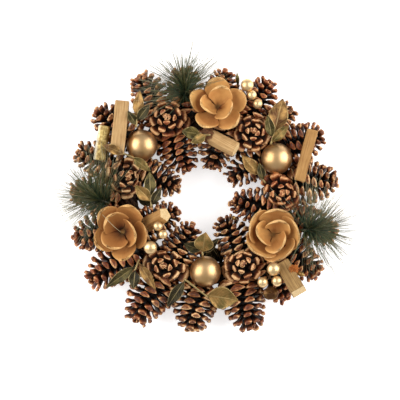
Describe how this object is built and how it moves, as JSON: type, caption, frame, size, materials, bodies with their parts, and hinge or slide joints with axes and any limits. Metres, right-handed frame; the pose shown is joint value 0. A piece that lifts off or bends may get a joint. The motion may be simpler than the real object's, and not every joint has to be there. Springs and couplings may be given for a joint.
{
  "type": "pinecone wreath",
  "caption": "Round wreath of open pine cones on a twisted vine ring, with gold balls, wood-shaving flowers, cut sticks, needle picks, berries and gilded leaves.",
  "frame": {"origin": "middle of the wreath's extent in X and Y, on the surface it lies on", "axes": "+Z out of the wreath's face, from the flat back of the vine ring; +Y towards the top of the wreath as it hangs"},
  "size_m": [0.357, 0.3312, 0.0862],
  "materials": {
    "vine": "rough dark brown bark",
    "cone": "dry brown cone scales with paler lips",
    "stick": "bare split wood",
    "bark_stick": "gilded bark",
    "shaving": "matt wood shaving",
    "ball": "satin gold",
    "berry": "pearl gold",
    "leaf": "gilded green and bronze",
    "needle": "blue green to olive needles"
  },
  "bodies": {
    "root": {"vine_ring": "vine", "ball_upper_left": "ball", "ball_upper_right": "ball", "ball_bottom": "ball", "cone_inner_1": "cone", "cone_inner_2": "cone", "cone_inner_3": "cone", "cone_inner_4": "cone", "cone_inner_5": "cone", "cone_inner_6": "cone", "cone_inner_7": "cone", "cone_inner_8": "cone", "cone_outer_01": "cone", "cone_outer_02": "cone", "cone_outer_03": "cone", "cone_outer_04": "cone", "cone_outer_05": "cone", "cone_outer_06": "cone", "cone_outer_07": "cone", "cone_outer_08": "cone", "cone_outer_09": "cone", "cone_outer_10": "cone", "cone_outer_11": "cone", "cone_outer_12": "cone", "cone_outer_13": "cone", "cone_outer_14": "cone", "cone_outer_15": "cone", "cone_outer_16": "cone", "cone_outer_17": "cone", "cone_outer_18": "cone", "cone_face_upper_left": "cone", "cone_face_upper_right": "cone", "cone_face_right": "cone", "cone_face_left": "cone", "cone_face_lower_left": "cone", "cone_face_lower_right": "cone", "stick_left_slat": "stick", "stick_left_bark": "bark_stick", "stick_top": "stick", "stick_right_slat": "stick", "stick_bottom_right": "stick", "stick_inner_left": "stick", "leaves_upper_right": "leaf", "leaves_upper_inner": "leaf", "leaves_top": "leaf", "leaves_upper_left": "leaf", "leaves_left": "leaf", "leaves_left_inner": "leaf", "leaves_bottom_inner": "leaf", "leaves_bottom": "leaf", "leaves_lower_left": "leaf", "flower_top": "shaving", "flower_left": "shaving", "flower_right": "shaving", "berries_upper_right": "berry", "berries_left": "berry", "berries_lower_right": "berry", "needles_top": "needle", "needles_left": "needle", "needles_right": "needle"}
  },
  "joints": []
}
